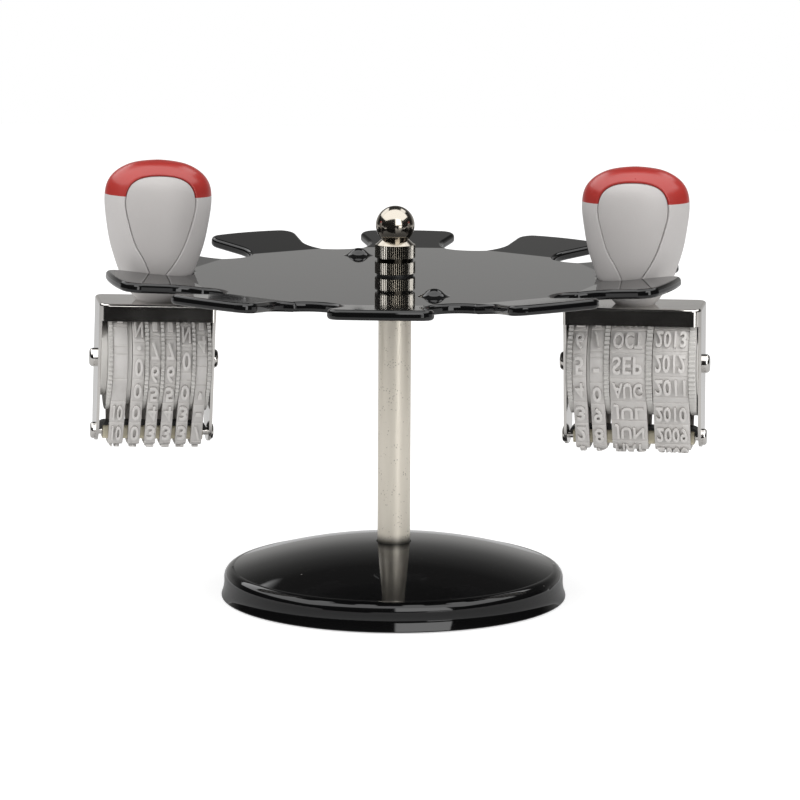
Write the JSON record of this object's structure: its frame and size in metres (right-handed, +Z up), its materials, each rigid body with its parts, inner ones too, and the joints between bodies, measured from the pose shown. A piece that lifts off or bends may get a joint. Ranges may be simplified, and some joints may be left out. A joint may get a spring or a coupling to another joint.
{
  "type": "desk stamp carousel",
  "caption": "Turning desk stand that hangs hand stamps in the slots of a plate above a weighted base, with a number stamp and a date stamp.",
  "frame": {"origin": "middle of the base pad underside, on the post axis", "axes": "+Z up along the post; +X through the slot that carries the date stamp, -X through the one that carries the number stamp; +Y away from the side the band faces are read from"},
  "size_m": [0.1895, 0.1755, 0.1338],
  "materials": {
    "base_black": "gloss black enamel",
    "ballast_iron": "as cast",
    "pad_rubber": "matte",
    "post_nickel": "bright nickel plate",
    "fastener_steel": "satin zinc plate",
    "knob_chrome": "bright chrome",
    "plate_black": "gloss black enamel",
    "grip_grey": "satin",
    "cap_red": "gloss",
    "badge_grey": "satin",
    "frame_chrome": "bright chrome",
    "wheel_grey": "matte",
    "platen_ivory": "satin",
    "carrier_black": "satin black",
    "band_rubber": "matte"
  },
  "bodies": {
    "stand": {"base_cover": "base_black", "base_ballast": "ballast_iron", "base_pad": "pad_rubber", "post": "post_nickel", "post_screw": "fastener_steel", "post_washer": "fastener_steel", "thrust_washer": "fastener_steel", "knob_washer": "fastener_steel", "ball_knob": "knob_chrome"},
    "carousel": {"carousel_plate": "plate_black"},
    "numberer": {"numberer_handle": "grip_grey", "numberer_cap": "cap_red", "numberer_front_badge": "badge_grey", "numberer_rear_badge": "badge_grey", "numberer_frame": "frame_chrome", "numberer_handle_screw": "fastener_steel", "numberer_axle": "frame_chrome", "numberer_spacers": "wheel_grey", "numberer_platen": "platen_ivory", "numberer_platen_carrier": "carrier_black", "numberer_platen_pin": "frame_chrome", "numberer_band_1": "band_rubber", "numberer_band_2": "band_rubber", "numberer_band_3": "band_rubber", "numberer_band_4": "band_rubber", "numberer_band_5": "band_rubber", "numberer_band_6": "band_rubber"},
    "dater": {"dater_handle": "grip_grey", "dater_cap": "cap_red", "dater_front_badge": "badge_grey", "dater_rear_badge": "badge_grey", "dater_frame": "frame_chrome", "dater_handle_screw": "fastener_steel", "dater_axle": "frame_chrome", "dater_spacers": "wheel_grey", "dater_platen": "platen_ivory", "dater_platen_carrier": "carrier_black", "dater_platen_pin": "frame_chrome", "dater_band_1": "band_rubber", "dater_band_2": "band_rubber", "dater_band_3": "band_rubber", "dater_band_4": "band_rubber"},
    "numberer_wheel_1": {"numberer_wheel_1": "wheel_grey"},
    "numberer_wheel_2": {"numberer_wheel_2": "wheel_grey"},
    "numberer_wheel_3": {"numberer_wheel_3": "wheel_grey"},
    "numberer_wheel_4": {"numberer_wheel_4": "wheel_grey"},
    "numberer_wheel_5": {"numberer_wheel_5": "wheel_grey"},
    "numberer_wheel_6": {"numberer_wheel_6": "wheel_grey"},
    "dater_wheel_1": {"dater_wheel_1": "wheel_grey"},
    "dater_wheel_2": {"dater_wheel_2": "wheel_grey"},
    "dater_wheel_3": {"dater_wheel_3": "wheel_grey"},
    "dater_wheel_4": {"dater_wheel_4": "wheel_grey"}
  },
  "joints": [
    {"name": "carousel_spin", "type": "hinge", "parent": "stand", "child": "carousel", "pos_m": [0, 0, 0.098], "axis": [0, 0, 1], "continuous": true},
    {"name": "numberer_draw", "type": "slide", "parent": "carousel", "child": "numberer", "axis": [-0.9944, 0, 0.1061], "range_m": [0, 0.03]},
    {"name": "dater_draw", "type": "slide", "parent": "carousel", "child": "dater", "axis": [0.9944, 0, 0.1061], "range_m": [0, 0.03]},
    {"name": "numberer_wheel_1_turn", "type": "hinge", "parent": "numberer", "child": "numberer_wheel_1", "pos_m": [-0.07375, -0.00018, 0.07301], "axis": [0.9783, 0.2044, -0.0332], "continuous": true},
    {"name": "numberer_wheel_2_turn", "type": "hinge", "parent": "numberer", "child": "numberer_wheel_2", "pos_m": [-0.07375, -0.00018, 0.07301], "axis": [0.9783, 0.2044, -0.0332], "continuous": true},
    {"name": "numberer_wheel_3_turn", "type": "hinge", "parent": "numberer", "child": "numberer_wheel_3", "pos_m": [-0.07375, -0.00018, 0.07301], "axis": [0.9783, 0.2044, -0.0332], "continuous": true},
    {"name": "numberer_wheel_4_turn", "type": "hinge", "parent": "numberer", "child": "numberer_wheel_4", "pos_m": [-0.07375, -0.00018, 0.07301], "axis": [0.9783, 0.2044, -0.0332], "continuous": true},
    {"name": "numberer_wheel_5_turn", "type": "hinge", "parent": "numberer", "child": "numberer_wheel_5", "pos_m": [-0.07375, -0.00018, 0.07301], "axis": [0.9783, 0.2044, -0.0332], "continuous": true},
    {"name": "numberer_wheel_6_turn", "type": "hinge", "parent": "numberer", "child": "numberer_wheel_6", "pos_m": [-0.07375, -0.00018, 0.07301], "axis": [0.9783, 0.2044, -0.0332], "continuous": true},
    {"name": "dater_wheel_1_turn", "type": "hinge", "parent": "dater", "child": "dater_wheel_1", "pos_m": [0.07316, -0.00003, 0.0735], "axis": [0.9935, -0.1132, 0.0105], "continuous": true},
    {"name": "dater_wheel_2_turn", "type": "hinge", "parent": "dater", "child": "dater_wheel_2", "pos_m": [0.07316, -0.00003, 0.0735], "axis": [0.9935, -0.1132, 0.0105], "continuous": true},
    {"name": "dater_wheel_3_turn", "type": "hinge", "parent": "dater", "child": "dater_wheel_3", "pos_m": [0.07316, -0.00003, 0.0735], "axis": [0.9935, -0.1132, 0.0105], "continuous": true},
    {"name": "dater_wheel_4_turn", "type": "hinge", "parent": "dater", "child": "dater_wheel_4", "pos_m": [0.07316, -0.00003, 0.0735], "axis": [0.9935, -0.1132, 0.0105], "continuous": true}
  ]
}
